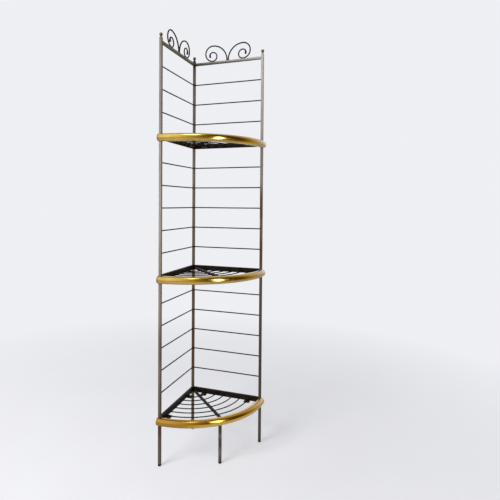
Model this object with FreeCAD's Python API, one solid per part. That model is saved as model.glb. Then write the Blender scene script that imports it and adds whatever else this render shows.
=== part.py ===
import FreeCAD, Part
import math
import os

# Corner shelf unit: an iron frame of three posts and a front leg, three quarter-round
# wire shelves with brass tube rims, rods across both backs and scrolls on the top rails.
# Lengths are in millimetres. The origin is on the floor under the back post.
# +X runs to the right post, -Y to the left post and +Z up.
# The left side is the right side mirrored in the upright plane through the diagonal.

# Frame of square bar
SIDE = 357.0                 # back post axis to side post axis
POST = 12.0                  # width of posts, front leg and top rails
RAIL_TOP = 1870.0            # upper face of the top rails
POST_ABOVE_RAIL = 14.0       # post end above the top rails
LEG_INSET = 18.0             # front leg axis inside the axis of the rims

# Heights of the shelves, at the axis of each rim
LOWER_SHELF = 199.0
MIDDLE_SHELF = 827.0
UPPER_SHELF = 1449.0

# Rods across the two backs
ROD_DIAMETER = 5.5
ROD_SEAT = 2.7               # depth of a rod or tenon in a post
BAY_RODS = (5, 5, 3)         # rods on each side of each bay, from the floor up
ROD_START_SHARES = (0.1952, 0.1850, 0.2709)    # lowest rod of each bay, of the height of the bay
ROD_END_SHARES = (0.8303, 0.8262, 0.7508)      # highest rod of each bay

# Finials and foot caps
BALL_DIAMETER = 16.0
BALL_RISE = 12.0             # ball centre above the post end
NECK_DIAMETER = 8.0
STUD_DIAMETER = 5.0
STUD_LENGTH = 11.0
FOOT_HEIGHT = 10.0
FOOT_CHAMFER = 1.2
FOOT_PIN_DIAMETER = 5.0
FOOT_PIN_LENGTH = 14.0

# Scrolls, each a round rod bent through four arcs that end on one upright line
SCROLL_DIAMETER = 6.5
SCROLL_RISE = 75.0           # radius of the first arc, from the stem to the crest
SCROLL_LOOP_SHARES = (0.5, 0.29, 0.2)    # radii of the next arcs, of the rise
SCROLL_TURNS = (180.0, 180.0, 125.0)     # degrees that those arcs turn

# Brass rims
RIM_PAST_POST = 3.0          # tube axis outside the axis of the side posts
RIM_DIAMETER = 35.0
RIM_WALL = 1.5
RIM_REACH = 9.0              # tube end past the side post axis
CAP_THICKNESS = 2.0

# Shelf frames
EDGE_WIDTH = 24.0            # flat band inside the rim
EDGE_THICKNESS = 5.0
EDGE_MARGIN = 2.0            # band that shows inside the rim
RAIL_HEIGHT = 24.0           # upright leg of the angle rail
RAIL_THICKNESS = 3.0
UPPER_RAIL_DROP = 9.0        # rails of the upper shelf below the place they have on the others
BAR_WIDTH = 10.0             # diagonal bar
BAR_THICKNESS = 10.0
BAR_SEAT = 10.0              # bar end inside the rim
WIRE_COUNT = 6
WIRE_START_RADIUS = 80.0     # smallest wire
TAB_WIDTH = 28.0
TAB_THICKNESS = 4.0
TAB_REACH = 20.0             # tab in front of the rail
TAB_FROM_BACK = 66.0         # middle of one tab from the back post axis
TAB_FROM_SIDE = 62.0         # middle of the other from the side post axis

# Fits
FIT = 0.1                    # round a pin, stud, rod, wire or notch
GAP = 0.3                    # between curved or cut pieces that only meet
OVERRUN = 5.0                # cutters past the faces that they cut

# Derived sizes
HALF_POST = POST / 2
RAIL_AXIS = RAIL_TOP - HALF_POST
POST_END = RAIL_TOP + POST_ABOVE_RAIL
RIM_RADIUS = SIDE + RIM_PAST_POST
LEG_RADIUS = RIM_RADIUS - LEG_INSET
RIM_OUTER = RIM_DIAMETER / 2
RIM_BORE = RIM_OUTER - RIM_WALL
RIM_INNER_EDGE = RIM_RADIUS - RIM_OUTER
RIM_END_ANGLE = math.degrees(math.asin(RIM_REACH / RIM_RADIUS))
EDGE_INNER = RIM_INNER_EDGE - EDGE_MARGIN
HALF_EDGE = EDGE_THICKNESS / 2
WIRE_DIAMETER = EDGE_THICKNESS - 2 * FIT
WIRE_PITCH = (EDGE_INNER - WIRE_START_RADIUS) / WIRE_COUNT
BAR_END = RIM_INNER_EDGE + BAR_SEAT
SHELVES = (("lower", LOWER_SHELF), ("middle", MIDDLE_SHELF), ("upper", UPPER_SHELF))

# Directions
Vec = FreeCAD.Vector
ORIGIN = Vec(0, 0, 0)
UP = Vec(0, 0, 1)
DOWN = Vec(0, 0, -1)
RIGHT = Vec(1, 0, 0)
LEFT = Vec(-1, 0, 0)
BACK = Vec(0, 1, 0)
ACROSS_DIAGONAL = Vec(1, 1, 0)
QUARTER = 90.0
DIAGONAL_TURN = -45.0


def box(low, high):
    """A box between two opposite corners."""
    size = [b - a for a, b in zip(low, high)]
    return Part.makeBox(*size, Vec(*low))


def round_bar(diameter, start, direction, length):
    return Part.makeCylinder(diameter / 2, length, start, direction)


def to_left(shape):
    """The same piece on the left side."""
    return shape.mirror(ORIGIN, ACROSS_DIAGONAL)


def to_diagonal(shape):
    """A piece drawn along +X, turned to the diagonal of the shelf."""
    turned = shape.copy()
    turned.rotate(ORIGIN, UP, DIAGONAL_TURN)
    return turned


def quarter_sweep(face, end_angle):
    """A section drawn at +X, swept round the back post with equal ends past both sides."""
    start = face.copy()
    start.rotate(ORIGIN, UP, end_angle)
    return start.revolve(ORIGIN, DOWN, QUARTER + 2 * end_angle)


def disc(radius, centre):
    return Part.Face(Part.Wire(Part.makeCircle(radius, centre, BACK)))


def upright_rectangle(radius_in, radius_out, low, high):
    """A rectangle in the plane through +X and +Z."""
    corners = [(radius_in, low), (radius_out, low), (radius_out, high), (radius_in, high)]
    points = [Vec(r, 0, z) for r, z in corners]
    return Part.Face(Part.makePolygon(points + points[:1]))


def rod_heights():
    """Heights of all rods of one side, from the floor up."""
    levels = [z for _, z in SHELVES] + [RAIL_AXIS]
    heights = []
    for number, count in enumerate(BAY_RODS):
        bay = levels[number + 1] - levels[number]
        first = levels[number] + ROD_START_SHARES[number] * bay
        last = levels[number] + ROD_END_SHARES[number] * bay
        heights += [first + (last - first) * k / (count - 1) for k in range(count)]
    return heights


def seat_holes(x, direction):
    """Blind holes for the rods and the top rail's tenon in one face of a post."""
    start = x + direction.x * (HALF_POST - ROD_SEAT)
    bore = ROD_DIAMETER + 2 * FIT
    depth = ROD_SEAT + OVERRUN
    return [round_bar(bore, Vec(start, 0, z), direction, depth) for z in rod_heights() + [RAIL_AXIS]]


def post_blank(x):
    """A post with a bore for the foot's pin and one for the finial's stud."""
    bar = box((x - HALF_POST, -HALF_POST, FOOT_HEIGHT), (x + HALF_POST, HALF_POST, POST_END))
    foot_bore = round_bar(FOOT_PIN_DIAMETER + 2 * FIT, Vec(x, 0, FOOT_HEIGHT), UP, FOOT_PIN_LENGTH + FIT)
    stud_bore = round_bar(STUD_DIAMETER + 2 * FIT, Vec(x, 0, POST_END), DOWN, STUD_LENGTH + FIT)
    return bar.cut([foot_bore, stud_bore])


def right_post():
    return post_blank(SIDE).cut(seat_holes(SIDE, LEFT))


def back_post():
    right_holes = seat_holes(0, RIGHT)
    left_holes = [to_left(hole) for hole in right_holes]
    return post_blank(0).cut(right_holes + left_holes)


def front_leg():
    """The leg under the diagonal, up to the band of the lower shelf."""
    top = LOWER_SHELF - HALF_EDGE
    bar = box((LEG_RADIUS - HALF_POST, -HALF_POST, FOOT_HEIGHT), (LEG_RADIUS + HALF_POST, HALF_POST, top))
    bore = round_bar(FOOT_PIN_DIAMETER + 2 * FIT, Vec(LEG_RADIUS, 0, FOOT_HEIGHT), UP, FOOT_PIN_LENGTH + FIT)
    return to_diagonal(bar.cut(bore))


def right_top_rail():
    """Square bar between two posts, with a round tenon at each end."""
    bar = box((HALF_POST, -HALF_POST, RAIL_TOP - POST), (SIDE - HALF_POST, HALF_POST, RAIL_TOP))
    tenon_start = Vec(HALF_POST - ROD_SEAT, 0, RAIL_AXIS)
    tenon = round_bar(ROD_DIAMETER, tenon_start, RIGHT, SIDE - POST + 2 * ROD_SEAT)
    return bar.fuse(tenon).removeSplitter()


def right_rod(z):
    start = Vec(HALF_POST - ROD_SEAT, 0, z)
    return round_bar(ROD_DIAMETER, start, RIGHT, SIDE - POST + 2 * ROD_SEAT)


def arc_between(centre, radius, start_angle, turn):
    """An arc in the plane of the right back, clockwise from above the rail, in degrees."""
    points = []
    for part in (0, turn / 2, turn):
        angle = math.radians(start_angle - part)
        points.append(centre + Vec(radius * math.cos(angle), 0, radius * math.sin(angle)))
    return Part.Arc(*points).toShape()


def outer_scroll():
    """The scroll that curls to the right post: a stem, a quarter turn and three tighter arcs."""
    stem_x = SIDE / 2 + SCROLL_DIAMETER / 2 + GAP / 2
    stem_top = RAIL_TOP + SCROLL_DIAMETER / 2 + GAP
    line_x = stem_x + SCROLL_RISE
    edges = [Part.makeLine(Vec(stem_x, 0, RAIL_TOP), Vec(stem_x, 0, stem_top))]
    edges.append(arc_between(Vec(line_x, 0, stem_top), SCROLL_RISE, 2 * QUARTER, QUARTER))
    end_z = stem_top + SCROLL_RISE
    side = 1
    for share, turn in zip(SCROLL_LOOP_SHARES, SCROLL_TURNS):
        radius = share * SCROLL_RISE
        centre = Vec(line_x, 0, end_z - side * radius)
        edges.append(arc_between(centre, radius, side * QUARTER, turn))
        end_z -= 2 * side * radius
        side = -side
    section = Part.Wire(Part.makeCircle(SCROLL_DIAMETER / 2, Vec(stem_x, 0, RAIL_TOP), UP))
    return Part.Wire(edges).makePipeShell([section], True, False)


def inner_scroll():
    """The mirror image that curls to the back post."""
    return outer_scroll().mirror(Vec(SIDE / 2, 0, 0), RIGHT)


def finial(x):
    """Ball, neck and stud in one turned piece."""
    ball = Part.makeSphere(BALL_DIAMETER / 2, Vec(x, 0, POST_END + BALL_RISE))
    neck = round_bar(NECK_DIAMETER, Vec(x, 0, POST_END), UP, BALL_RISE)
    stud = round_bar(STUD_DIAMETER, Vec(x, 0, POST_END), DOWN, STUD_LENGTH)
    return ball.fuse([neck, stud]).removeSplitter()


def foot_cap(x):
    """A square tip with a chamfered sole and a pin up into the bar."""
    tip = box((x - HALF_POST, -HALF_POST, 0), (x + HALF_POST, HALF_POST, FOOT_HEIGHT))
    sole = [edge for edge in tip.Edges if edge.BoundBox.ZMax < FOOT_CHAMFER]
    tip = tip.makeChamfer(FOOT_CHAMFER, sole)
    pin = round_bar(FOOT_PIN_DIAMETER, Vec(x, 0, FOOT_HEIGHT), UP, FOOT_PIN_LENGTH)
    return tip.fuse(pin)


def foot_caps():
    caps = [foot_cap(0), foot_cap(SIDE), to_left(foot_cap(SIDE)), to_diagonal(foot_cap(LEG_RADIUS))]
    return Part.makeCompound(caps)


def rail_base(z):
    """Underside of the back rails of the shelf at this height."""
    drop = UPPER_RAIL_DROP if z == UPPER_SHELF else 0
    return z - HALF_EDGE - drop


def angle_rail(z, room):
    """The right back rail from post to post: an upright leg in front and a flange to the wall on top.

    Room all round it makes the cutter for its notch.
    """
    base = rail_base(z)
    top = base + RAIL_HEIGHT
    start = HALF_POST - room
    end = SIDE - HALF_POST + room
    front = -HALF_POST - room
    leg = box((start, front, base - room), (end, RAIL_THICKNESS - HALF_POST + room, top + room))
    flange = box((start, front, top - RAIL_THICKNESS - room), (end, HALF_POST + room, top + room))
    return leg.fuse(flange).removeSplitter()


def edge_band(z):
    """Flat band bent round the front, between the faces of the side posts."""
    section = upright_rectangle(EDGE_INNER, EDGE_INNER + EDGE_WIDTH, z - HALF_EDGE, z + HALF_EDGE)
    reach = EDGE_INNER + EDGE_WIDTH + OVERRUN
    between = box((HALF_POST, -reach, z - EDGE_THICKNESS), (reach, -HALF_POST, z + EDGE_THICKNESS))
    return quarter_sweep(section, 0).common(between)


def diagonal_box(z, room):
    """The diagonal bar's outline from the corner to its seat on the band, with room all round it."""
    half = BAR_WIDTH / 2 + room
    low = z + HALF_EDGE
    return to_diagonal(box((0, -half, low - room), (BAR_END + room, half, low + BAR_THICKNESS + room)))


def diagonal_bar(z):
    """The bar itself, pointed to fit the corner between the two rails."""
    corner = HALF_POST + FIT
    inside = box((corner, -RIM_RADIUS, z), (RIM_RADIUS, -corner, z + RIM_DIAMETER))
    return diagonal_box(z, 0).common(inside)


def rim_notches(z):
    """What the rim makes room for: two posts, two rails, the diagonal bar and the leg."""
    side = HALF_POST + FIT
    low = z - RIM_DIAMETER
    post = box((SIDE - side, -side, low), (SIDE + side, side, z + RIM_DIAMETER))
    rail = angle_rail(z, FIT)
    notches = [post, to_left(post), rail, to_left(rail), diagonal_box(z, FIT)]
    if z == LOWER_SHELF:
        leg = box((LEG_RADIUS - side, -side, low), (LEG_RADIUS + side, side, z))
        notches.append(to_diagonal(leg))
    return notches


def rim(z):
    """Brass tube, slit along its inner side for the band and notched for what passes through."""
    centre = Vec(RIM_RADIUS, 0, z)
    slit = upright_rectangle(RIM_INNER_EDGE - OVERRUN, RIM_RADIUS, z - HALF_EDGE - FIT, z + HALF_EDGE + FIT)
    section = disc(RIM_OUTER, centre).cut([disc(RIM_BORE, centre), slit])
    return quarter_sweep(section.Faces[0], RIM_END_ANGLE).cut(rim_notches(z))


def rim_end_caps():
    """Two brass discs that close each rim behind the side posts."""
    caps = []
    for _, z in SHELVES:
        plate = disc(RIM_BORE - FIT, Vec(RIM_RADIUS, 0, z))
        plate.rotate(ORIGIN, UP, RIM_END_ANGLE)
        cap = plate.revolve(ORIGIN, DOWN, math.degrees(CAP_THICKNESS / RIM_RADIUS))
        caps += [cap, to_left(cap)]
    return Part.makeCompound(caps)


def wires(z):
    """Quarter circles of wire between the upright legs of the two rails."""
    arcs = []
    for k in range(WIRE_COUNT):
        radius = WIRE_START_RADIUS + WIRE_PITCH * k
        short_angle = math.degrees(math.asin((HALF_POST + GAP) / radius))
        arcs.append(quarter_sweep(disc(WIRE_DIAMETER / 2, Vec(radius, 0, z)), -short_angle))
    return Part.makeCompound(arcs)


def rest_tabs():
    """Small plates under the upright legs of the rails, or against a leg that hangs lower, two to a rail."""
    tabs = []
    for _, z in SHELVES:
        top = z - HALF_EDGE
        rail = angle_rail(z, 0)
        for middle in (TAB_FROM_BACK, SIDE - TAB_FROM_SIDE):
            low = (middle - TAB_WIDTH / 2, -HALF_POST - TAB_REACH, top - TAB_THICKNESS)
            high = (middle + TAB_WIDTH / 2, RAIL_THICKNESS - HALF_POST, top)
            tab = box(low, high).cut(rail)
            tabs += [tab, to_left(tab)]
    return Part.makeCompound(tabs)


def frame_nodes():
    nodes = {"back_post": back_post(), "front_leg": front_leg(), "foot_caps": foot_caps()}
    nodes["back_finial"] = finial(0)
    right_side = {
        "post": right_post(),
        "finial": finial(SIDE),
        "top_rail": right_top_rail(),
        "outer_scroll": outer_scroll(),
        "inner_scroll": inner_scroll(),
    }
    for number, z in enumerate(rod_heights(), 1):
        right_side[f"rod_{number:02d}"] = right_rod(z)
    for name, shape in right_side.items():
        nodes["right_" + name] = shape
        nodes["left_" + name] = to_left(shape)
    return nodes


def shelf_nodes():
    nodes = {"rim_end_caps": rim_end_caps(), "rest_tabs": rest_tabs()}
    for name, z in SHELVES:
        rail = angle_rail(z, 0)
        nodes[name + "_rim"] = rim(z)
        nodes[name + "_edge_band"] = edge_band(z)
        nodes[name + "_right_rail"] = rail
        nodes[name + "_left_rail"] = to_left(rail)
        nodes[name + "_diagonal_bar"] = diagonal_bar(z)
        nodes[name + "_wires"] = wires(z)
    return nodes


def main():
    os.makedirs("parts", exist_ok=True)
    for name, shape in {**frame_nodes(), **shelf_nodes()}.items():
        shape.exportStep(f"parts/{name}.step")


main()
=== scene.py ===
import math

import bpy
from mathutils import Matrix, Vector, noise


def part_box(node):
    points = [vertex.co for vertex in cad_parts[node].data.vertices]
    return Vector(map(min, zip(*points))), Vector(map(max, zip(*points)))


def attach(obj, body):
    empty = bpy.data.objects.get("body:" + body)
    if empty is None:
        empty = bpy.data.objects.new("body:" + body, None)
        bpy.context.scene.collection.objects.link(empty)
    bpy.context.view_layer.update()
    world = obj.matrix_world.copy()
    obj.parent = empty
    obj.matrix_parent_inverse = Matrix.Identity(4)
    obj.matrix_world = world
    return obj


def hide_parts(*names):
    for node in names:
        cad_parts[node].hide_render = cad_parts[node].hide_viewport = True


# The corner shelf unit dressed for its photograph. Lengths are in metres in the part's frame:
# the origin is on the floor under the back post, +X to the right post, -Y to the left post, +Z up.

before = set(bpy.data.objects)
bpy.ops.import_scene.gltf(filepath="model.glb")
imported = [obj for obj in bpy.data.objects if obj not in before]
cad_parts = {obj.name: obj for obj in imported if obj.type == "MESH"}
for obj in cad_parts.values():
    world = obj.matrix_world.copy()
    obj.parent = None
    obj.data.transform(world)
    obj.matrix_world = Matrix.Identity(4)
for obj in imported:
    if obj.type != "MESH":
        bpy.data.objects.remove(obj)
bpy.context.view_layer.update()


def middle(node_name):
    """Middle of a CAD node's box."""
    low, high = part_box(node_name)
    return (low + high) / 2


# Directions
ORIGIN = Vector((0, 0, 0))
X = Vector((1, 0, 0))
Y = Vector((0, 1, 0))
Z = Vector((0, 0, 1))
OUT = Vector((1, -1, 0)).normalized()
ACROSS = Vector((1, 1, 0)).normalized()

# Places read from the frame
back_post_low, back_post_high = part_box("back_post")
upper_rim_low, upper_rim_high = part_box("upper_rim")
POST = back_post_high.x - back_post_low.x
HALF_POST = POST / 2
SIDE = middle("right_post").x
FOOT_TOP = back_post_low.z
POST_END = back_post_high.z
RAIL_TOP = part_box("right_top_rail")[1].z
TUBE_RADIUS = (upper_rim_high.z - upper_rim_low.z) / 2
RIM_RADIUS = upper_rim_high.x - TUBE_RADIUS
RIM_END = upper_rim_low.x
RIM_END_ANGLE = math.asin(upper_rim_high.y / RIM_RADIUS)
SHELVES = {name: middle(f"{name}_rim").z for name in ("lower", "middle", "upper")}
POST_AXES = {"left": -Y * SIDE, "back": ORIGIN, "right": X * SIDE}
RIGHT_RODS = sorted(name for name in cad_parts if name.startswith("right_rod_"))

# Square bars, rods and welds
BAR_EDGE = 0.0009            # rounding along the square bars
FLAT_EDGE = 0.0005           # rounding along flats, angles and tabs
SHOULDER = 0.0003            # narrow strip beside a rounding, which keeps the faces flat
BAR_WANDER = 0.0002          # how far a bar strays from straight
ROD_WANDER = 0.0004
WANDER_WAVES = 6             # how often it strays, to the metre
ROD_RADIUS = 0.00275
ROD_BEAD = (0.0013, 0.0038, 0.0038)       # half the sizes of a weld bead along X, Y and Z
WIRE_BEAD = (0.0042, 0.0016, 0.0034)
SCROLL_BEAD = (0.0085, 0.0045, 0.0022)
SCROLL_BEAD_SEED = 3.0
BEAD_SWELL_SHARE = 0.25      # unevenness of a bead

# Scrolls and finials
SCROLL_RADIUS = 0.00325
SCROLL_LOOP_SHARES = (0.5, 0.29, 0.2)     # radii of the arcs after the first, of the scroll's rise
SCROLL_TURNS = (180, 180, 125)            # degrees that those arcs turn
SCROLL_TAPER_SHARE = 0.10    # how much thinner the rod gets along the scroll
SNUB_POINTS = 13             # points at the curled tip over which the rod swells
SNUB_SWELL_SHARE = 0.55
SNUB_END_SHARE = 0.6         # last ring of the tip, of the swollen rod
NECK_SHARE = 0.5             # of the ball's radius, like all shares of a finial
NECK_TOP_SHARE = 0.94        # end of the neck below the middle of the ball
COLLAR_SHARES = ((0.72, 0.0), (0.76, 0.08), (0.72, 0.24), (NECK_SHARE, 0.34))     # radii and heights
BALL_START = -62             # degrees from level where the ball meets the neck
CENTRE_RADIUS = 0.0001       # of the small ring that closes a turned shape

# Shelves
EDGE_HALF = 0.0025           # half the thickness of the band in the rims, and the wires' radius
EDGE_SHOWS = 0.002           # band that shows inside the rims
BAR_SEAT = 0.010             # diagonal bar inside the rims
BAR_WIDTH = 0.010
BAR_THICKNESS = 0.010
BAR_POINT_SHARE = 0.04       # width of the bar's point in the back corner
ANGLE_THICKNESS = 0.003
WIRE_COUNT = 6
WIRE_START = 0.080           # radius of the smallest wire
TAB_WIDTH = 0.028
TAB_REACH = 0.020
TAB_THICKNESS = 0.004
TAB_FROM_BACK = 0.066
TAB_FROM_SIDE = 0.062
TAB_CORNER = 4 * FLAT_EDGE
TAB_FACE_SHARES = (0.97, 0.95)            # upper and lower face, of the tab's width and reach
TUBE_LIP = 0.0008            # rounded lip at the tube ends
CAP_DEPTHS = (0.002, 0.0, -0.0004, -0.0008, -0.0009)     # rings of an end disc inside the tube's end
CAP_SHARES = (0.84, 0.90, 0.86, 0.5, 0.02)               # and their radii, of the tube's

# Fineness of the meshes
SHARP_ANGLE = math.radians(40)
POST_STEPS, FOOT_STEPS, RAIL_STEPS, ROD_STEPS = 60, 3, 20, 24
RIM_STEPS, WIRE_STEPS, BALL_STEPS = 150, 40, 15
SCROLL_STEP, SCROLL_LEAST_STEPS = 6, 10   # degrees, and steps of a short arc
ROD_SIDES, SCROLL_SIDES, WIRE_SIDES, FINIAL_SIDES, TUBE_SIDES, CAP_SIDES = 16, 18, 14, 32, 72, 48
BEAD_RINGS, BEAD_SIDES = 5, 9

# A fixed seed, so that bars and rods stray the same way in each run
WANDER_SEED = 5
noise.seed_set(WANDER_SEED)


def rounded(corners, radius):
    """A closed outline with rounded corners and a narrow strip beside each rounding."""
    points = []
    for k, corner in enumerate(corners):
        here = Vector(corner)
        back = (Vector(corners[k - 1]) - here).normalized()
        ahead = (Vector(corners[(k + 1) % len(corners)]) - here).normalized()
        points.append(here + back * (radius + SHOULDER))
        points.append(here + back * radius)
        points.append(here + (back + ahead) * radius * (1 - math.sqrt(0.5)))
        points.append(here + ahead * radius)
        points.append(here + ahead * (radius + SHOULDER))
    return [tuple(point) for point in points]


def rectangle(width, height, radius):
    w, h = width / 2, height / 2
    return rounded([(-w, -h), (w, -h), (w, h), (-w, h)], radius)


def circle(radius, count):
    turns = [2 * math.pi * k / count for k in range(count)]
    return [(radius * math.cos(turn), radius * math.sin(turn)) for turn in turns]


def skin(points, count):
    """Faces over rings of so many points each, with a cap on the first ring and on the last."""
    faces = []
    for start in range(0, len(points) - count, count):
        for k in range(count):
            a, b = start + k, start + (k + 1) % count
            faces.append((a, b, b + count, a + count))
    faces.append(tuple(reversed(range(count))))
    faces.append(tuple(range(len(points) - count, len(points))))
    return faces


def sweep(profile, stations):
    """A closed skin: the profile carried along stations, each an origin and its two axes."""
    points = [origin + u_axis * u + v_axis * v for origin, u_axis, v_axis in stations for u, v in profile]
    return points, skin(points, len(profile))


def lathe(outline, centre, count):
    """A turned shape from radius and height pairs in order along its outline."""
    points = []
    for radius, height in outline:
        points += [centre + X * u + Y * v + Z * height for u, v in circle(radius, count)]
    return points, skin(points, count)


def lump(centre, sizes, seed):
    """A small uneven bead of weld. Its rings go downward, so the skin's faces are turned over."""
    points = []
    for ring in range(BEAD_RINGS + 1):
        tilt = math.pi * (ring + 0.5) / (BEAD_RINGS + 1)
        for u, v in circle(math.sin(tilt), BEAD_SIDES):
            way = Vector((u, v, math.cos(tilt)))
            swell = 1 + BEAD_SWELL_SHARE * noise.noise(way * 2 + X * seed)
            points.append(centre + Vector([w * s * swell for w, s in zip(way, sizes)]))
    *sides, first_cap, last_cap = skin(points, BEAD_SIDES)
    return points, [*[(a, d, c, b) for a, b, c, d in sides], first_cap[::-1], last_cap[::-1]]


def straight(start, end, u_axis, v_axis, steps, wander, end_cut):
    """Stations along a bar that strays a little from straight, with its ends cut back."""
    length = (end - start).length
    along = (end - start) / length
    shrink = 1 - 2 * end_cut / POST
    stations = [(start, u_axis * shrink, v_axis * shrink)]
    for k in range(steps + 1):
        place = start + along * (end_cut + (length - 2 * end_cut) * k / steps)
        drift = noise.noise_vector(place * WANDER_WAVES) * wander
        stations.append((place + drift - along * drift.dot(along), u_axis, v_axis))
    stations.append((end, u_axis * shrink, v_axis * shrink))
    return stations


def arc(radius, z, start, end, steps):
    """Stations round the back post from one angle below +X to another."""
    stations = []
    for k in range(steps + 1):
        turn = start + (end - start) * k / steps
        outward = Vector((math.cos(turn), -math.sin(turn), 0))
        stations.append((outward * radius + Z * z, outward, Z))
    return stations


def mirrored(shape):
    """The same shape on the left side, mirrored in the plane through the diagonal."""
    points, faces = shape
    return [Vector((-p.y, -p.x, p.z)) for p in points], [tuple(reversed(face)) for face in faces]


def flipped(shape):
    """The shape mirrored in the upright plane half way along the right side."""
    points, faces = shape
    return [Vector((SIDE - p.x, p.y, p.z)) for p in points], [tuple(reversed(face)) for face in faces]


def add_object(name, data):
    made = bpy.data.objects.new(name, data)
    bpy.context.scene.collection.objects.link(made)
    return made


def add_mesh(name, points, faces, material):
    mesh = bpy.data.meshes.new(name)
    mesh.from_pydata(points, [], faces)
    mesh.materials.append(material)
    return add_object(name, mesh)


def piece(name, shapes, material, slot, *nodes):
    """One object made of the shapes, riding on the frame in place of the CAD nodes."""
    points, faces = [], []
    for shape_points, shape_faces in shapes:
        base = len(points)
        points += shape_points
        faces += [tuple(base + index for index in face) for face in shape_faces]
    made = add_mesh(name, points, faces, material)
    made.data.shade_smooth()
    made.data.set_sharp_from_angle(angle=SHARP_ANGLE)
    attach(made, "root")
    if nodes:
        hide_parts(*nodes)


def both_sides(name, shapes, material, slot, *nodes):
    """A piece of the right side, and its mirror image on the left."""
    piece(name, shapes, material, slot, *nodes)
    left_nodes = [right.replace("right", "left") for right in nodes]
    piece(name.replace("right", "left"), [mirrored(shape) for shape in shapes], material, slot, *left_nodes)


def link_or_set(tree, socket, value):
    """Links a socket to another, or sets it to a number or colour."""
    if isinstance(value, bpy.types.NodeSocket):
        tree.links.new(value, socket)
    else:
        socket.default_value = value


def node(tree, kind, **inputs):
    """A shader node with the named inputs set to values or linked from sockets."""
    made = tree.nodes.new(kind)
    for name, value in inputs.items():
        link_or_set(tree, made.inputs[name.replace("_", " ")], value)
    return made


def maths(tree, operation, first, second):
    """Two sockets put together by arithmetic."""
    made = tree.nodes.new("ShaderNodeMath")
    made.operation = operation
    tree.links.new(first, made.inputs[0])
    tree.links.new(second, made.inputs[1])
    return made.outputs["Value"]


def times(tree, first, second):
    return maths(tree, "MULTIPLY", first, second)


def vector_maths(tree, operation, vector):
    made = node(tree, "ShaderNodeVectorMath", Vector=vector)
    made.operation = operation
    return made.outputs


def split(tree, vector):
    """The X, Y and Z of a vector."""
    return node(tree, "ShaderNodeSeparateXYZ", Vector=vector).outputs


def coordinates(tree, kind):
    return node(tree, "ShaderNodeTexCoord").outputs[kind]


def mapped(tree, vector, **how):
    """A vector scaled or moved."""
    return node(tree, "ShaderNodeMapping", Vector=vector, **how).outputs["Vector"]


def places(tree, stretch=(1, 1, 1)):
    """Coordinates in the part's frame, stretched along its axes."""
    return mapped(tree, coordinates(tree, "Object"), Scale=stretch)


def from_back_post(tree):
    """Level distance from the axis of the back post."""
    return vector_maths(tree, "LENGTH", places(tree, (1, 1, 0)))["Value"]


def mottle(tree, vector, scale, detail=4.0):
    """Cloudy noise of a scale to the metre."""
    return node(tree, "ShaderNodeTexNoise", Vector=vector, Scale=scale, Detail=detail).outputs["Fac"]


def ramp(tree, factor, *stops):
    """A colour ramp of places and colours."""
    made = node(tree, "ShaderNodeValToRGB", Fac=factor)
    elements = made.color_ramp.elements
    while len(elements) < len(stops):
        elements.new(0.5)
    for element, (place, colour) in zip(elements, stops):
        element.position = place
        element.color = (*colour, 1)
    return made.outputs["Color"]


def spread(tree, factor, low, high, to_low, to_high):
    """The factor's range from low to high carried to another range."""
    made = tree.nodes.new("ShaderNodeMapRange")
    tree.links.new(factor, made.inputs["Value"])
    for name, value in zip(("From Min", "From Max", "To Min", "To Max"), (low, high, to_low, to_high)):
        made.inputs[name].default_value = value
    return made.outputs["Result"]


def mixed(tree, factor, first, second, way="MIX"):
    """Two colours mixed by a factor."""
    made = tree.nodes.new("ShaderNodeMix")
    made.data_type = "RGBA"
    made.blend_type = way
    for socket, value in ((made.inputs[0], factor), (made.inputs[6], first), (made.inputs[7], second)):
        link_or_set(tree, socket, (*value, 1) if isinstance(value, tuple) else value)
    return made.outputs[2]


def blended(tree, factor, first, second):
    """Two shaders mixed by a factor."""
    made = node(tree, "ShaderNodeMixShader", Fac=factor)
    tree.links.new(first, made.inputs[1])
    tree.links.new(second, made.inputs[2])
    return made.outputs["Shader"]


def roughened(tree, shader, scale, smooth, rough):
    """Roughness that varies between two values at a fine scale."""
    grain = mottle(tree, places(tree), scale)
    tree.links.new(spread(tree, grain, 0.3, 0.7, smooth, rough), shader.inputs["Roughness"])


def bumped(tree, shader, height, distance, strength):
    bump = node(tree, "ShaderNodeBump", Height=height, Distance=distance, Strength=strength)
    tree.links.new(bump.outputs["Normal"], shader.inputs["Normal"])


def new_material(name):
    material = bpy.data.materials.new(name)
    material.use_nodes = True
    tree = material.node_tree
    return material, tree, tree.nodes["Principled BSDF"]


# Patina of the square bars, with painted shade. Tones go by height, from the floor to the ends of the posts;
# they grow darker toward the floor, partly as patina and partly as painted shade where less light falls, and
# the back post's are darkest, as painted shade of the corner.
LEFT_TONES = (
    (0.05, (0.12, 0.09, 0.072)), (0.26, (0.18, 0.145, 0.118)), (0.48, (0.34, 0.29, 0.255)),
    (0.70, (0.335, 0.295, 0.27)), (0.83, (0.195, 0.172, 0.158)), (0.97, (0.222, 0.203, 0.19)))
# Back post: darkest, as painted shade of the corner; its last stop is painted shade near black at the top of
# the post, beside the rails and under the finial.
BACK_TONES = (
    (0.10, (0.10, 0.068, 0.042)), (0.45, (0.11, 0.080, 0.055)), (0.62, (0.17, 0.135, 0.105)),
    (0.80, (0.10, 0.083, 0.068)), (0.96, (0.09, 0.074, 0.06)), (0.985, (0.022, 0.016, 0.012)))
RIGHT_TONES = (
    (0.07, (0.105, 0.078, 0.055)), (0.20, (0.052, 0.039, 0.026)), (0.30, (0.10, 0.080, 0.063)),
    (0.42, (0.135, 0.108, 0.088)), (0.62, (0.22, 0.19, 0.17)), (0.95, (0.375, 0.358, 0.343)))
RAIL_TONES = ((0.90, (0.25, 0.235, 0.225)), (1.00, (0.285, 0.27, 0.26)))
SPOT_STRETCH = (1, 1, 0.35)  # makes spots longer upward than across
STAINED, CLEAN = (0.68, 0.64, 0.60), (1.06, 1.06, 1.06)     # multiply the tones
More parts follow.
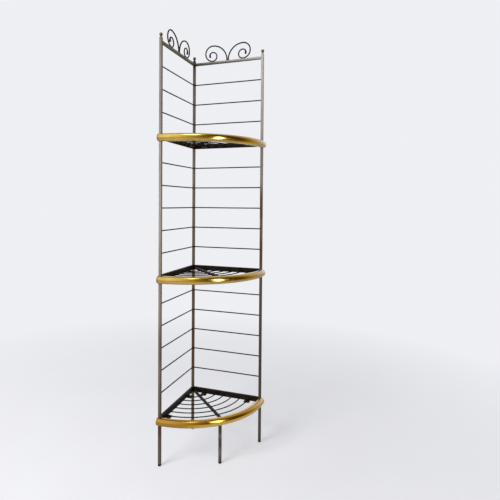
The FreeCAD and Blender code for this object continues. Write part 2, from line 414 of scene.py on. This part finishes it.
RUBBED = (0.40, 0.37, 0.33)  # edges worn paler
RUSTED = (0.080, 0.029, 0.008)
RUST_FADE = 0.06             # height over which a rusty stretch of bar fades out
# Painted light: the right top rail lighter toward the right post.
LIT_RAIL = (0.44, 0.42, 0.40)
# Painted shade on the top rails: their undersides, a stripe along the lower part of the right one, and the
# stretch beside the back post.
PAINTED_SHADE = (0.035, 0.028, 0.024)
STRIPE_TOP = RAIL_TOP - POST * 0.45       # where the painted shade along the lower part of the right rail sets in
STRIPE_FULL = RAIL_TOP - POST * 0.65      # and where it is full
CORNER_REACH = 6 * POST      # painted shade on the rails beside the back post


def worn_edges(tree):
    """One along the rounded edges of a bar that lies along an axis, zero on its faces."""
    sides = split(tree, vector_maths(tree, "ABSOLUTE", coordinates(tree, "Normal"))["Vector"])
    largest = maths(tree, "MAXIMUM", maths(tree, "MAXIMUM", sides["X"], sides["Y"]), sides["Z"])
    return spread(tree, largest, 0.75, 0.97, 1, 0)


def rail_light_and_shade(tree, colour):
    """Painted light and shade on the top rails: painted shade below and beside the back post, and the right
    one painted lighter outward with a painted shade stripe.
    """
    where = split(tree, places(tree))
    colour = mixed(tree, spread(tree, where["X"], SIDE / 4, SIDE, 0, 0.8), colour, LIT_RAIL)
    right_rail = spread(tree, where["X"], HALF_POST, POST, 0, 0.75)
    right_rail = times(tree, right_rail, spread(tree, where["X"], SIDE * 0.6, SIDE, 1, 0.3))
    stripe = times(tree, right_rail, spread(tree, where["Z"], STRIPE_TOP, STRIPE_FULL, 0, 1))
    colour = mixed(tree, stripe, colour, PAINTED_SHADE)
    facing = split(tree, coordinates(tree, "Normal"))["Z"]
    colour = mixed(tree, spread(tree, facing, -0.9, -0.4, 0.9, 0), colour, PAINTED_SHADE)
    return mixed(tree, spread(tree, from_back_post(tree), POST, CORNER_REACH, 0.8, 0), colour, PAINTED_SHADE)


def patina(name, offset, tones, rust_low, rust_high, painted_light=None):
    """Brown-grey patina on square bar: tones by height, partly patina and partly painted shade, rust between
    two heights, edges worn paler, then any painted light and shade passed in.
    """
    material, tree, shader = new_material(name)
    spots = mapped(tree, places(tree, SPOT_STRETCH), Location=(offset, offset, offset))
    height = split(tree, places(tree))["Z"]
    # Tones by height: patina and painted shade together, darker toward the floor.
    tone = ramp(tree, spread(tree, height, 0, POST_END, 0, 1), *tones)
    stains = ramp(tree, mottle(tree, spots, 13, 3), (0.36, STAINED), (0.62, CLEAN))
    colour = mixed(tree, 1.0, tone, stains, "MULTIPLY")
    rubbed = times(tree, worn_edges(tree), spread(tree, mottle(tree, spots, 60, 3), 0.45, 0.65, 0, 0.5))
    colour = mixed(tree, rubbed, colour, RUBBED)
    above = spread(tree, height, rust_low - RUST_FADE, rust_low, 0, 1)
    below = spread(tree, height, rust_high, rust_high + RUST_FADE, 1, 0)
    patches = spread(tree, mottle(tree, spots, 26, 5), 0.45, 0.54, 0, 0.95)
    colour = mixed(tree, times(tree, times(tree, above, below), patches), colour, RUSTED)
    if painted_light:
        colour = painted_light(tree, colour)
    tree.links.new(colour, shader.inputs["Base Color"])
    shader.inputs["Metallic"].default_value = 0.2
    roughened(tree, shader, 420, 0.40, 0.58)
    bumped(tree, shader, mottle(tree, places(tree), 260), distance=0.0002, strength=0.15)
    return material


# Blackened steel of rods, scrolls and shelf frames
BLACK_STEEL, WORN_STEEL = (0.005, 0.0038, 0.003), (0.026, 0.018, 0.012)


def blackened():
    """Blackened steel with a worn brown sheen."""
    material, tree, shader = new_material("blackened_steel")
    colour = ramp(tree, mottle(tree, places(tree), 45), (0.38, BLACK_STEEL), (0.68, WORN_STEEL))
    tree.links.new(colour, shader.inputs["Base Color"])
    shader.inputs["Metallic"].default_value = 0.2
    shader.inputs["Specular IOR Level"].default_value = 0.1
    roughened(tree, shader, 300, 0.42, 0.62)
    bumped(tree, shader, mottle(tree, places(tree), 500), distance=0.0002, strength=0.2)
    return material


# Brass of the rims. Each fade is a stretch from where a tone sets in to where it is full.
BRASS_DARK, BRASS_BRIGHT = (0.64, 0.425, 0.08), (0.78, 0.55, 0.125)
BRASS_WARM = (0.80, 0.46, 0.045)          # on the lower rim
BRASS_RIGHT_END = (0.42, 0.31, 0.19)
BRASS_LEFT_END = (0.52, 0.31, 0.07)
# Painted shade and dark reflection: a dark brown edge at the left end of each tube.
BRASS_END_SHADE = (0.15, 0.088, 0.03)
BRASS_STAIN = (0.44, 0.245, 0.03)
LOW_RIM_FADE = (0.5, 0.4)                 # height
RIGHT_END_FADE = (-0.17, -0.05)           # along Y
LEFT_END_FADE = (0.05, 0.0)               # along X, as the next two
END_SHADE_FADE = (0.001, RIM_END)
STAIN_FADE = (0.19, 0.10)
POLISH_LINES = 1000          # polishing lines to the metre across the brass


def along_tube(tree):
    """Coordinates that hardly change along the rims, so a noise in them makes polishing lines."""
    where = split(tree, places(tree))
    slow = spread(tree, maths(tree, "ARCTAN2", where["Y"], where["X"]), 0, 1, 0, 0.02)
    return node(tree, "ShaderNodeCombineXYZ", X=from_back_post(tree), Y=where["Z"], Z=slow).outputs["Vector"]


def brass_colour(tree, where, low, right_end, stain):
    """Blotchy brass, warmer on the lower rim, browner toward the left end and greyer toward the right end,
    with painted shade at the left end of each tube.
    """
    metal = ramp(tree, mottle(tree, places(tree), 14, 5), (0.34, BRASS_DARK), (0.60, BRASS_BRIGHT))
    metal = mixed(tree, spread(tree, low, 0, 1, 0, 0.7), metal, BRASS_WARM)
    metal = mixed(tree, right_end, metal, BRASS_RIGHT_END)
    metal = mixed(tree, spread(tree, where["X"], *LEFT_END_FADE, 0, 0.6), metal, BRASS_LEFT_END)
    # Painted shade and dark reflection at the left end of the tube.
    metal = mixed(tree, spread(tree, where["X"], *END_SHADE_FADE, 0, 0.8), metal, BRASS_END_SHADE)
    return mixed(tree, stain, metal, BRASS_STAIN)


def brass():
    """Polished brass tube, duller toward the right end and with less lacquer on the stain."""
    material, tree, shader = new_material("brass_tube")
    where = split(tree, places(tree))
    low = spread(tree, where["Z"], *LOW_RIM_FADE, 0, 1)
    right_end = spread(tree, where["Y"], *RIGHT_END_FADE, 0, 1)
    right_end = times(tree, right_end, spread(tree, low, 0, 1, 1, 0.5))
    stain = times(tree, low, spread(tree, where["X"], *STAIN_FADE, 0, 0.9))
    tree.links.new(brass_colour(tree, where, low, right_end, stain), shader.inputs["Base Color"])
    shader.inputs["Metallic"].default_value = 1.0
    tree.links.new(spread(tree, stain, 0, 1, 1, 0.1), shader.inputs["Coat Weight"])
    shader.inputs["Coat Roughness"].default_value = 0.14
    polish = spread(tree, mottle(tree, places(tree), 40, 5), 0.35, 0.7, 0.15, 0.22)
    dull = spread(tree, right_end, 0, 1, 0, 0.18)
    tree.links.new(maths(tree, "ADD", polish, dull), shader.inputs["Roughness"])
    bumped(tree, shader, mottle(tree, along_tube(tree), POLISH_LINES, 2), distance=0.00015, strength=0.35)
    return material


def turned_brass(name, colour, dark):
    """Darkened brass of the finials."""
    material, tree, shader = new_material(name)
    tone = ramp(tree, mottle(tree, places(tree), 120, 6), (0.38, dark), (0.62, colour))
    tree.links.new(tone, shader.inputs["Base Color"])
    shader.inputs["Metallic"].default_value = 0.9
    shader.inputs["Coat Weight"].default_value = 1.0
    shader.inputs["Coat Roughness"].default_value = 0.1
    roughened(tree, shader, 400, 0.12, 0.26)
    bumped(tree, shader, mottle(tree, places(tree), 600), distance=0.0002, strength=0.3)
    return material


# Rest tabs and foot tips
RUST_DARK, RUST_BRIGHT = (0.045, 0.018, 0.010), (0.15, 0.062, 0.028)
TIP_BLACK, TIP_SCUFFED = (0.008, 0.008, 0.008), (0.030, 0.028, 0.026)


def rust():
    """Brown rusted iron of the rest tabs."""
    material, tree, shader = new_material("rusted_iron")
    tone = ramp(tree, mottle(tree, places(tree), 130, 8), (0.36, RUST_DARK), (0.64, RUST_BRIGHT))
    tree.links.new(tone, shader.inputs["Base Color"])
    shader.inputs["Metallic"].default_value = 0.15
    roughened(tree, shader, 300, 0.6, 0.9)
    bumped(tree, shader, mottle(tree, places(tree), 350, 8), distance=0.0006, strength=0.7)
    return material


def black_tip():
    """Black moulded foot tip, scuffed."""
    material, tree, shader = new_material("black_tip")
    tone = ramp(tree, mottle(tree, places(tree), 200, 6), (0.40, TIP_BLACK), (0.70, TIP_SCUFFED))
    tree.links.new(tone, shader.inputs["Base Color"])
    roughened(tree, shader, 250, 0.45, 0.7)
    bumped(tree, shader, mottle(tree, places(tree), 700), distance=0.0002, strength=0.4)
    return material


# One material per post; the back post's, the darkest, carries the painted shade of the corner.
POST_LOOKS = {
    "left": patina("left_patina", 1.7, LEFT_TONES, 0.15, 0.3),
    "back": patina("back_patina_and_shade", 4.1, BACK_TONES, 0.2, 0.7),
    "right": patina("right_patina", 7.9, RIGHT_TONES, 0.88, 1.2),
}
# The rails' material carries their painted light and shade.
RAIL_PATINA_AND_SHADE = patina("rail_patina", 2.9, RAIL_TONES, 0.2, 0.3, rail_light_and_shade)
BLACKENED = blackened()
BRASS = brass()
FINIAL_LOOKS = {
    "left": turned_brass("left_finial_brass", (0.22, 0.14, 0.065), (0.07, 0.04, 0.018)),
    "back": turned_brass("back_finial_brass", (0.06, 0.045, 0.028), (0.015, 0.011, 0.006)),
    "right": turned_brass("right_finial_brass", (0.24, 0.185, 0.135), (0.075, 0.055, 0.038)),
}
RUST = rust()
TIP = black_tip()


def upright_bar(axis, low, high, u_axis, v_axis, steps, wander):
    stations = straight(axis + Z * low, axis + Z * high, u_axis, v_axis, steps, wander, BAR_EDGE)
    return sweep(rectangle(POST, POST, BAR_EDGE), stations)


def make_posts():
    for name, axis in POST_AXES.items():
        bar = upright_bar(axis, FOOT_TOP, POST_END, X, Y, POST_STEPS, BAR_WANDER)
        piece(f"{name}_post_bar", [bar], POST_LOOKS[name], "patina", f"{name}_post")


def make_leg_and_feet():
    """The front leg, turned to the diagonal, and the tips under it and the posts."""
    low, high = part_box("front_leg")
    axis = (low + high) / 2
    axis.z = 0
    bar = upright_bar(axis, low.z, high.z, OUT, ACROSS, POST_STEPS, BAR_WANDER)
    piece("front_leg_bar", [bar], POST_LOOKS["left"], "patina", "front_leg")
    tips = [upright_bar(post, 0, FOOT_TOP, X, Y, FOOT_STEPS, 0) for post in POST_AXES.values()]
    tips.append(upright_bar(axis, 0, FOOT_TOP, OUT, ACROSS, FOOT_STEPS, 0))
    piece("foot_tips", tips, TIP, "foot", "foot_caps")


def make_top_rails():
    start = X * HALF_POST + Z * (RAIL_TOP - HALF_POST)
    end = X * (SIDE - HALF_POST) + Z * (RAIL_TOP - HALF_POST)
    stations = straight(start, end, Y, Z, RAIL_STEPS, BAR_WANDER, BAR_EDGE / 3)
    bar = sweep(rectangle(POST, POST, BAR_EDGE), stations)
    both_sides("right_top_rail_bar", [bar], RAIL_PATINA_AND_SHADE, "patina", "right_top_rail")


def make_rods():
    """Rods between two posts with a small bead of weld at each end."""
    rods, beads = [], []
    for name in RIGHT_RODS:
        z = middle(name).z
        start = X * (HALF_POST - ROD_RADIUS) + Z * z
        end = X * (SIDE - HALF_POST + ROD_RADIUS) + Z * z
        stations = straight(start, end, Y, Z, ROD_STEPS, ROD_WANDER, BAR_EDGE / 3)
        rods.append(sweep(circle(ROD_RADIUS, ROD_SIDES), stations))
        for x in (HALF_POST, SIDE - HALF_POST):
            beads.append(lump(Vector((x, 0, z)), ROD_BEAD, x + z))
    both_sides("right_rods", rods, BLACKENED, "blackened", *RIGHT_RODS)
    both_sides("right_rod_welds", beads, BLACKENED, "blackened")


def scroll_path():
    """Points of the scroll that curls to the right post: a stem and four arcs on one upright line."""
    low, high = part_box("right_outer_scroll")
    stem_x = low.x + SCROLL_RADIUS
    stem_top = RAIL_TOP + SCROLL_RADIUS
    rise = high.z - SCROLL_RADIUS - stem_top
    arcs = [(stem_top, rise, 180, 90)]
    end_z, side = stem_top + rise, 1
    for share, turn in zip(SCROLL_LOOP_SHARES, SCROLL_TURNS):
        radius = share * rise
        arcs.append((end_z - side * radius, radius, side * 90, turn))
        end_z -= 2 * side * radius
        side = -side
    turns = []
    for centre_z, radius, start, turn in arcs:
        steps = max(SCROLL_LEAST_STEPS, int(turn / SCROLL_STEP))
        turns += [(centre_z, radius, math.radians(start - turn * k / steps)) for k in range(steps)]
    turns.append((centre_z, radius, math.radians(start - turn)))
    points = [Vector((stem_x, 0, RAIL_TOP - SCROLL_RADIUS / 2))]
    for centre_z, radius, angle in turns:
        x = stem_x + rise + radius * math.cos(angle)
        points.append(Vector((x, 0, centre_z + radius * math.sin(angle))))
    return points


def scroll():
    """Round rod along the path, a little thinner along the curl and snub at its tip."""
    points = scroll_path()
    last = len(points) - 1
    stations = []
    for k, point in enumerate(points):
        along = (points[min(k + 1, last)] - points[max(k - 1, 0)]).normalized()
        snub = max(0, 1 - (last - k) / SNUB_POINTS)
        thick = 1 - SCROLL_TAPER_SHARE * k / len(points) + SNUB_SWELL_SHARE * snub * (2 - snub)
        stations.append((point, along.cross(Y) * thick, Y * thick))
    tip, u_axis, v_axis = stations[-1]
    tip = tip + (points[-1] - points[-2]).normalized() * SCROLL_RADIUS / 3
    stations.append((tip, u_axis * SNUB_END_SHARE, v_axis * SNUB_END_SHARE))
    return sweep(circle(SCROLL_RADIUS, SCROLL_SIDES), stations)


def make_scrolls():
    outer = scroll()
    for name, shape in (("right_outer_scroll", outer), ("right_inner_scroll", flipped(outer))):
        both_sides(f"{name}_rod", [shape], BLACKENED, "blackened", name)
    bead = lump(Vector((SIDE / 2, 0, RAIL_TOP)), SCROLL_BEAD, SCROLL_BEAD_SEED)
    piece("scroll_welds", [bead, mirrored(bead)], BLACKENED, "blackened")


def finial_outline():
    """Radius and height pairs of a collar on the post, a neck and a ball."""
    low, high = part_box("back_finial")
    ball = (high.x - low.x) / 2
    ball_z = high.z - ball
    outline = [(CENTRE_RADIUS, POST_END)]
    outline += [(ball * radius, POST_END + ball * height) for radius, height in COLLAR_SHARES]
    outline.append((ball * NECK_SHARE, ball_z - ball * NECK_TOP_SHARE))
    for k in range(1, BALL_STEPS + 1):
        tilt = math.radians(BALL_START + (90 - BALL_START) * k / BALL_STEPS)
        outline.append((max(ball * math.cos(tilt), CENTRE_RADIUS), ball_z + ball * math.sin(tilt)))
    return outline


def make_finials():
    outline = finial_outline()
    for name, axis in POST_AXES.items():
        turned = lathe(outline, axis, FINIAL_SIDES)
        piece(f"{name}_finial_ball", [turned], FINIAL_LOOKS[name], "finial_brass", f"{name}_finial")


def rim_tube(z):
    """The brass tube with a rounded lip at each end."""
    lip_angle = TUBE_LIP / RIM_RADIUS
    start, end = -RIM_END_ANGLE, math.pi / 2 + RIM_END_ANGLE
    stations = arc(RIM_RADIUS, z, start + lip_angle, end - lip_angle, RIM_STEPS)
    shrink = 1 - TUBE_LIP / TUBE_RADIUS
    both_ends = arc(RIM_RADIUS, z, start, end, 1)
    first, last = [(origin, u_axis * shrink, v_axis * shrink) for origin, u_axis, v_axis in both_ends]
    return sweep(circle(TUBE_RADIUS, TUBE_SIDES), [first, *stations, last])


def rim_cap(z):
    """A slightly domed disc soldered in the right end of a tube."""
    outward = Vector((math.cos(RIM_END_ANGLE), math.sin(RIM_END_ANGLE), 0))
    ahead = Vector((-math.sin(RIM_END_ANGLE), math.cos(RIM_END_ANGLE), 0))
    end = outward * RIM_RADIUS + Z * z
    rings = zip(CAP_DEPTHS, CAP_SHARES)
    stations = [(end - ahead * depth, outward * share, Z * share) for depth, share in rings]
    return sweep(circle(TUBE_RADIUS, CAP_SIDES), stations)


def make_rims():
    caps = []
    for name, z in SHELVES.items():
        piece(f"{name}_rim_tube", [rim_tube(z)], BRASS, "brass", f"{name}_rim")
        cap = rim_cap(z)
        caps += [cap, mirrored(cap)]
    piece("rim_end_discs", caps, BRASS, "brass", "rim_end_caps")


def make_shelf_rails(name):
    """Angles between the posts: an upright leg in front with a flange to the wall on top."""
    low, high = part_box(f"{name}_right_rail")
    inside = ANGLE_THICKNESS - HALF_POST
    below = high.z - ANGLE_THICKNESS
    corners = [(-HALF_POST, low.z), (inside, low.z), (inside, below),
               (HALF_POST, below), (HALF_POST, high.z), (-HALF_POST, high.z)]
    stations = [(X * x, Y, Z) for x in (HALF_POST, SIDE / 3, SIDE * 2 / 3, SIDE - HALF_POST)]
    rail = sweep(rounded(corners, FLAT_EDGE), stations)
    both_sides(f"{name}_right_rail_angle", [rail], BLACKENED, "blackened", f"{name}_right_rail")


def make_diagonal_bar(name, z):
    """Square bar from the back corner, where it is pointed, to its seat in the rim."""
    tip = HALF_POST * math.sqrt(2)
    end = RIM_RADIUS - TUBE_RADIUS + BAR_SEAT
    height = z + EDGE_HALF + BAR_THICKNESS / 2
    stations = [(OUT * tip + Z * height, ACROSS * BAR_POINT_SHARE, Z)]
    for place in (tip + BAR_WIDTH / 2, end / 3, end * 2 / 3, end):
        stations.append((OUT * place + Z * height, ACROSS, Z))
    bar = sweep(rectangle(BAR_WIDTH, BAR_THICKNESS, FLAT_EDGE), stations)
    piece(f"{name}_diagonal_flat", [bar], BLACKENED, "blackened", f"{name}_diagonal_bar")


def make_wires(name, z):
    """Quarter circles between the rails, with a bead of weld at each end."""
    inner_edge = RIM_RADIUS - TUBE_RADIUS - EDGE_SHOWS
    pitch = (inner_edge - WIRE_START) / WIRE_COUNT
    wires, beads = [], []
    for k in range(WIRE_COUNT):
        radius = WIRE_START + pitch * k
        short = math.asin(HALF_POST / radius)
        stations = arc(radius, z, short, math.pi / 2 - short, WIRE_STEPS)
        wires.append(sweep(circle(EDGE_HALF, WIRE_SIDES), stations))
        bead = lump(Vector((radius, -HALF_POST, z)), WIRE_BEAD, radius + z)
        beads += [bead, mirrored(bead)]
    piece(f"{name}_wire_arcs", wires, BLACKENED, "blackened", f"{name}_wires")
    piece(f"{name}_wire_welds", beads, BLACKENED, "blackened")


def tab_plate(centre, reach):
    """A small plate from the middle of its underside up, with rounded corners and edges."""
    across, along = TAB_FACE_SHARES
    stations = [(centre, X * across, Y * along)]
    stations.append((centre + Z * FLAT_EDGE, X, Y))
    stations.append((centre + Z * (TAB_THICKNESS - FLAT_EDGE), X, Y))
    stations.append((centre + Z * TAB_THICKNESS, X * across, Y * along))
    return sweep(rectangle(TAB_WIDTH, reach, TAB_CORNER), stations)


def make_tabs():
    """Small plates under the legs of the rails, or against a leg that hangs lower."""
    tabs = []
    for name, z in SHELVES.items():
        top = z - EDGE_HALF
        leg_low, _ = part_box(f"{name}_right_rail")
        low_y = -HALF_POST - TAB_REACH
        high_y = -HALF_POST if leg_low.z < top - FLAT_EDGE else ANGLE_THICKNESS - HALF_POST
        for x in (TAB_FROM_BACK, SIDE - TAB_FROM_SIDE):
            tab = tab_plate(Vector((x, (low_y + high_y) / 2, top - TAB_THICKNESS)), high_y - low_y)
            tabs += [tab, mirrored(tab)]
    piece("rest_tab_plates", tabs, RUST, "rust", "rest_tabs")


def dress_edge_band(name):
    """The band inside a rim keeps its CAD shape and gets a material."""
    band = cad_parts[f"{name}_edge_band"]
    band.data.materials.clear()
    band.data.materials.append(BLACKENED)


def make_shelves():
    for name, z in SHELVES.items():
        make_shelf_rails(name)
        make_diagonal_bar(name, z)
        make_wires(name, z)
        dress_edge_band(name)
    make_tabs()


# Floor and surroundings
BLACK, WHITE = (0, 0, 0), (1, 1, 1)
PAPER = (0.86, 0.865, 0.90)  # what the camera sees behind the part
FLOOR_DARK, FLOOR_PALE = (0.60, 0.60, 0.63), (0.64, 0.64, 0.67)
FLOOR_RADIUS = 14.0
FLOOR_SHARES = (0.0001, 0.05, 0.2, 1)     # rings of the floor, of its radius
FLOOR_DROP = 0.0002          # floor below the feet
FLOOR_SIDES = 64
FLOOR_FADE = (0.7, 2.4)      # distances between which the floor turns into background
FLOOR_LIFT = 0.48            # what the floor shows of the paper's white by itself
METAL_LIFT = 0.24            # the same in shiny surfaces
FLOOR_IN_METAL = (           # the far floor in reflections, from the left round to the right
    (0.05, (0.62, 0.56, 0.38)), (0.30, (0.60, 0.52, 0.33)), (0.58, (0.52, 0.42, 0.18)),
    (0.68, (0.44, 0.31, 0.07)), (0.86, (0.18, 0.115, 0.015)), (0.92, (0.12, 0.075, 0.006)))
ROOM_IN_METAL = (            # the room in reflections, likewise
    (0.05, (1.1, 1.1, 1.12)), (0.30, (0.92, 0.84, 0.68)), (0.58, (0.58, 0.45, 0.20)),
    (0.68, (0.38, 0.265, 0.05)), (0.86, (0.11, 0.068, 0.006)), (0.92, (0.055, 0.03, 0.001)))
DARK_AZIMUTH = 73            # where the room is darkest, in degrees from -Y toward +X
HEIGHT_SHARE = 0.3           # how much a direction's height counts beside its azimuth
BEHIND = (0, 0.5, 1)         # way to the wall behind the part, high up
BEHIND_FADE = (0.82, 1.0)    # nearness to that way over which the wall darkens
WALL_IN_METAL = 0.5          # how much of the room's brightness that wall has
ROOM_TINT = (0.95, 0.97, 1.0)
ROOM_LIGHT = 0.22            # even light from all round

# Bright cards that show only in reflections, azimuths as above
CARD_TINT = (1, 1, 0.97)
SIDE_CARD_AZIMUTH = 60
SIDE_CARD_DISTANCE = 1.3     # from the front of the rims
SIDE_CARD_WIDTH = 0.38
SIDE_CARD_LOW, SIDE_CARD_HIGH = 0.05, 2.15
SIDE_CARD_GLOW = 14.0
TOP_CARD_AZIMUTH = 21
TOP_CARD_DISTANCE = 0.42     # in front of the rims
TOP_CARD_HEIGHT = 2.2
TOP_CARD_WIDTH = 0.42
TOP_CARD_GLOW = 11.0

# Camera and lamp
CAMERA_PLACE = Vector((0.952, -2.133, 1.164))
CAMERA_YAW, CAMERA_PITCH, CAMERA_ROLL = (math.radians(angle) for angle in (20.47, 1.24, -0.37))
CAMERA_LENS = 32.85
CAMERA_SHIFT = (0.0554, -0.0736)
KEY_PLACE = Vector((-1.3, -3.4, 2.9))
KEY_AIM = Vector((SIDE / 3, -SIDE / 3, 1.0))
KEY_WIDTH = 2.0
KEY_POWER = 142


def heading(azimuth):
    """Level direction at degrees from -Y toward +X."""
    turn = math.radians(azimuth)
    return Vector((math.sin(turn), -math.cos(turn), 0))


def nearness(tree, direction, way):
    """Dot product of a direction and a way."""
    made = tree.nodes.new("ShaderNodeVectorMath")
    made.operation = "DOT_PRODUCT"
    tree.links.new(direction, made.inputs[0])
    made.inputs[1].default_value = way
    return made.outputs["Value"]


def toward_dark(tree, direction):
    """Cosine of the angle between a direction, flattened, and the dark side of the room."""
    flat = mapped(tree, direction, Scale=(1, 1, HEIGHT_SHARE))
    return nearness(tree, vector_maths(tree, "NORMALIZE", flat)["Vector"], heading(DARK_AZIMUTH))


def paper_floor():
    """Pale floor that takes the shadow near the object and fades into the background farther off."""
    material, tree, shader = new_material("paper_floor")
    where = coordinates(tree, "Object")
    tone = ramp(tree, mottle(tree, where, 3), (0.3, FLOOR_DARK), (0.7, FLOOR_PALE))
    tree.links.new(tone, shader.inputs["Base Color"])
    shader.inputs["Roughness"].default_value = 0.7
    path = node(tree, "ShaderNodeLightPath").outputs
    by_camera = path["Is Camera Ray"]
    lift = maths(tree, "ADD", spread(tree, by_camera, 0, 1, 0, FLOOR_LIFT),
                 spread(tree, path["Is Glossy Ray"], 0, 1, 0, METAL_LIFT))
    lifted = node(tree, "ShaderNodeEmission", Color=(*PAPER, 1), Strength=lift)
    near = node(tree, "ShaderNodeAddShader")
    tree.links.new(shader.outputs["BSDF"], near.inputs[0])
    tree.links.new(lifted.outputs["Emission"], near.inputs[1])
    in_metal = ramp(tree, toward_dark(tree, where), *FLOOR_IN_METAL)
    far = node(tree, "ShaderNodeEmission", Color=mixed(tree, by_camera, in_metal, PAPER), Strength=1.0)
    fade = spread(tree, vector_maths(tree, "LENGTH", where)["Value"], *FLOOR_FADE, 0, 1)
    surface = blended(tree, fade, near.outputs["Shader"], far.outputs["Emission"])
    tree.links.new(surface, tree.nodes["Material Output"].inputs["Surface"])
    return material


def make_floor():
    """A round floor whose outermost ring stays open."""
    rings = [(FLOOR_RADIUS * share, -FLOOR_DROP) for share in FLOOR_SHARES]
    points, faces = lathe(rings, ORIGIN, FLOOR_SIDES)
    add_mesh("floor", points, faces[:-1], paper_floor())


def card_glow(name, strength):
    """Soft glow that fades toward the edges of a card."""
    material = bpy.data.materials.new(name)
    material.use_nodes = True
    tree = material.node_tree
    tree.nodes.clear()
    place = split(tree, coordinates(tree, "Generated"))
    across = ramp(tree, place["X"], (0.0, BLACK), (0.5, WHITE), (1.0, BLACK))
    upward = ramp(tree, place["Y"], (0.0, BLACK), (0.45, WHITE), (0.55, WHITE), (1.0, BLACK))
    glow = node(tree, "ShaderNodeEmission", Color=(*CARD_TINT, 1), Strength=strength)
    clear = node(tree, "ShaderNodeBsdfTransparent")
    surface = blended(tree, times(tree, across, upward), clear.outputs["BSDF"], glow.outputs["Emission"])
    node(tree, "ShaderNodeOutputMaterial", Surface=surface)
    return material


def make_card(name, width, height, strength, place, tilt, azimuth):
    """A bright card seen only in shiny surfaces."""
    w, h = width / 2, height / 2
    corners = [(-w, -h, 0), (w, -h, 0), (w, h, 0), (-w, h, 0)]
    made = add_mesh(name, corners, [(0, 1, 2, 3)], card_glow(name, strength))
    made.location = place
    made.rotation_euler = (math.radians(tilt), 0, math.radians(azimuth))
    made.visible_camera = made.visible_diffuse = made.visible_shadow = False
    made.visible_transmission = False


def make_cards():
    """A tall card to the right of the camera and a small one above the front of the rims."""
    height = SIDE_CARD_HIGH - SIDE_CARD_LOW
    side = OUT * RIM_RADIUS + heading(SIDE_CARD_AZIMUTH) * SIDE_CARD_DISTANCE
    side.z = (SIDE_CARD_LOW + SIDE_CARD_HIGH) / 2
    make_card("bright_card", SIDE_CARD_WIDTH, height, SIDE_CARD_GLOW, side, 90, SIDE_CARD_AZIMUTH)
    above = heading(TOP_CARD_AZIMUTH) * (RIM_RADIUS + TOP_CARD_DISTANCE) + Z * TOP_CARD_HEIGHT
    make_card("lamp_card", TOP_CARD_WIDTH, TOP_CARD_WIDTH, TOP_CARD_GLOW, above, 0, TOP_CARD_AZIMUTH)


def make_camera():
    data = bpy.data.cameras.new("camera")
    data.lens = CAMERA_LENS
    data.shift_x, data.shift_y = CAMERA_SHIFT
    made = add_object("camera", data)
    turn = Matrix.Rotation(CAMERA_YAW, 4, "Z") @ Matrix.Rotation(math.pi / 2 - CAMERA_PITCH, 4, "X")
    made.matrix_world = Matrix.Translation(CAMERA_PLACE) @ turn @ Matrix.Rotation(-CAMERA_ROLL, 4, "Z")
    bpy.context.scene.camera = made


def make_key_light():
    """One soft lamp to the left of the camera, which shiny surfaces don't show."""
    data = bpy.data.lights.new("key", "AREA")
    data.shape = "RECTANGLE"
    data.size = data.size_y = KEY_WIDTH
    data.energy = KEY_POWER
    made = add_object("key", data)
    made.location = KEY_PLACE
    made.rotation_mode = "QUATERNION"
    made.rotation_quaternion = (KEY_AIM - KEY_PLACE).to_track_quat("-Z", "Y")
    made.visible_glossy = False


def room(tree):
    """What shiny surfaces see: pale on the left, warm and dark to the right, dimmer high up behind."""
    direction = coordinates(tree, "Generated")
    tone = ramp(tree, toward_dark(tree, direction), *ROOM_IN_METAL)
    behind = spread(tree, nearness(tree, direction, BEHIND), *BEHIND_FADE, 0, 1 - WALL_IN_METAL)
    return mixed(tree, behind, tone, BLACK)


def make_world():
    """Pale surroundings. The camera sees white paper, and shiny surfaces see the room."""
    world = bpy.data.worlds.new("surroundings")
    bpy.context.scene.world = world
    world.use_nodes = True
    tree = world.node_tree
    tree.nodes.clear()
    path = node(tree, "ShaderNodeLightPath").outputs
    seen = maths(tree, "MAXIMUM", path["Is Camera Ray"], path["Is Glossy Ray"])
    colour = mixed(tree, path["Is Glossy Ray"], PAPER, room(tree))
    shown = node(tree, "ShaderNodeBackground", Color=colour, Strength=1.0)
    even = node(tree, "ShaderNodeBackground", Color=(*ROOM_TINT, 1), Strength=ROOM_LIGHT)
    surface = blended(tree, seen, even.outputs["Background"], shown.outputs["Background"])
    node(tree, "ShaderNodeOutputWorld", Surface=surface)


make_posts()
make_leg_and_feet()
make_top_rails()
make_rods()
make_scrolls()
make_finials()
make_rims()
make_shelves()
make_floor()
make_cards()
make_camera()
make_key_light()
make_world()
bpy.context.scene.view_settings.view_transform = "Standard"
